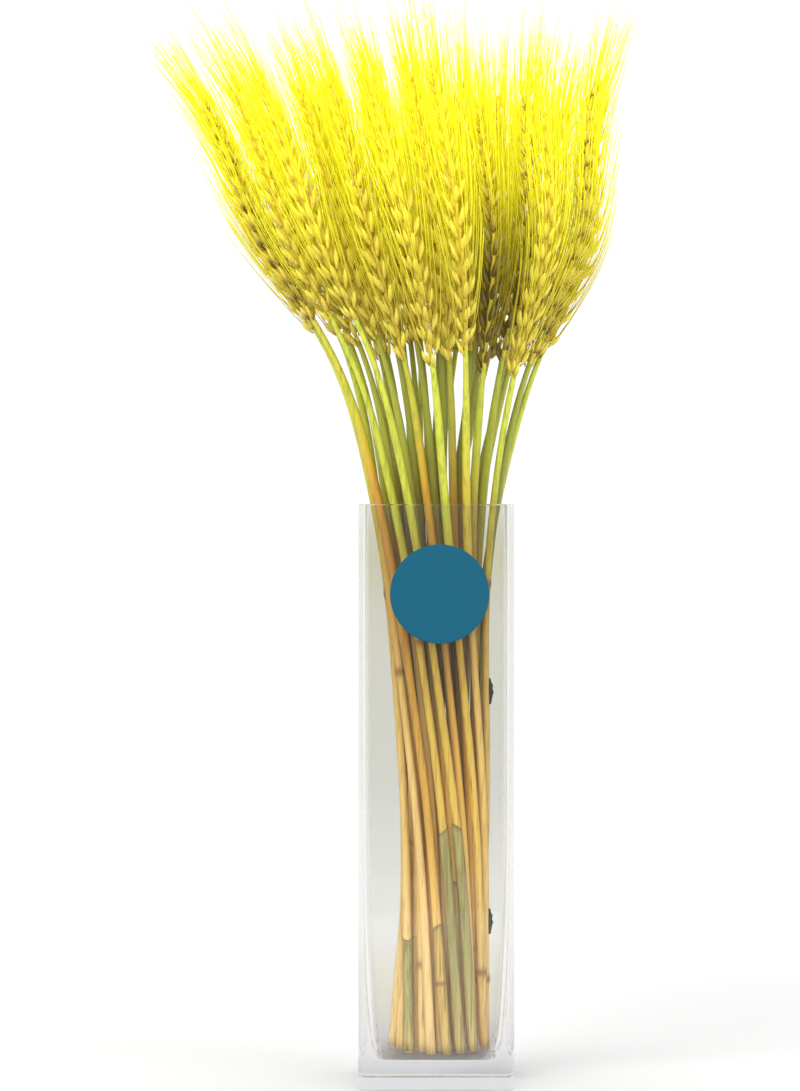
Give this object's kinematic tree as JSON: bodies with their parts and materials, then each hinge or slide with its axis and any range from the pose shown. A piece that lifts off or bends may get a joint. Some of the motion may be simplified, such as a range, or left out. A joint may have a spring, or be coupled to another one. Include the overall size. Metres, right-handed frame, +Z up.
{
  "type": "bunch of wheat ears in a glass vase",
  "caption": "Dried bearded wheat ears on long stalks, standing as a loose twisted bunch in a tall square glass vase with a plain round label, for a table, shelf or floor.",
  "frame": {"origin": "centre of the flat underside of the vase's foot, on the surface that the vase stands on", "axes": "+Z up along the vase, -Y out of the face that carries the label, +X to the right of a viewer who faces the label"},
  "size_m": [0.2504, 0.2534, 0.5593],
  "materials": {
    "glass": "clear pressed glass",
    "label": "printed paper sticker, satin",
    "wheat": "dry straw, matte, yellow at the ears and straw to green along the stalks"
  },
  "bodies": {
    "root": {"vase": "glass", "label": "label", "wheat_stalk_01": "wheat", "wheat_stalk_02": "wheat", "wheat_stalk_03": "wheat", "wheat_stalk_04": "wheat", "wheat_stalk_05": "wheat", "wheat_stalk_06": "wheat", "wheat_stalk_07": "wheat", "wheat_stalk_08": "wheat", "wheat_stalk_09": "wheat", "wheat_stalk_10": "wheat", "wheat_stalk_11": "wheat", "wheat_stalk_12": "wheat", "wheat_stalk_13": "wheat", "wheat_stalk_14": "wheat", "wheat_stalk_15": "wheat", "wheat_stalk_16": "wheat", "wheat_stalk_17": "wheat", "wheat_stalk_18": "wheat", "wheat_stalk_19": "wheat", "wheat_stalk_20": "wheat", "wheat_stalk_21": "wheat", "wheat_stalk_22": "wheat", "wheat_stalk_23": "wheat", "wheat_stalk_24": "wheat", "wheat_stalk_25": "wheat", "wheat_stalk_26": "wheat", "wheat_stalk_27": "wheat", "wheat_stalk_28": "wheat", "wheat_stalk_29": "wheat", "wheat_stalk_30": "wheat", "wheat_stalk_31": "wheat", "wheat_stalk_32": "wheat", "wheat_stalk_33": "wheat", "wheat_stalk_34": "wheat", "wheat_stalk_35": "wheat", "wheat_stalk_36": "wheat", "wheat_stalk_37": "wheat", "wheat_stalk_38": "wheat"}
  },
  "joints": []
}
